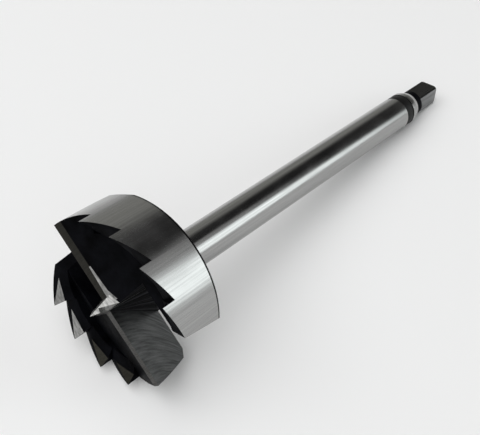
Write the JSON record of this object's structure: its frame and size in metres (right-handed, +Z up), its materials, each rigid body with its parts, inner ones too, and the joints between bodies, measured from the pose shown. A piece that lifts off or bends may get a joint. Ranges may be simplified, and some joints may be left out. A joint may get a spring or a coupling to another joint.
{
  "type": "multi-spur bit",
  "caption": "Steel boring bit with a toothed rim, two cutting lips, a centre point and a long round shank, lying on its side.",
  "frame": {"origin": "on the floor under the middle of the part's box, as the bit lies on its side", "axes": "+X along the floor from the head to the drive end, +Z up"},
  "size_m": [0.187, 0.055, 0.0569],
  "materials": {
    "steel": "ground steel, with a dark oxide film in the recess, gullets and neck",
    "ring_rubber": "black moulded rubber"
  },
  "bodies": {
    "root": {"bit_body": "steel", "rubber_ring": "ring_rubber"}
  },
  "joints": []
}
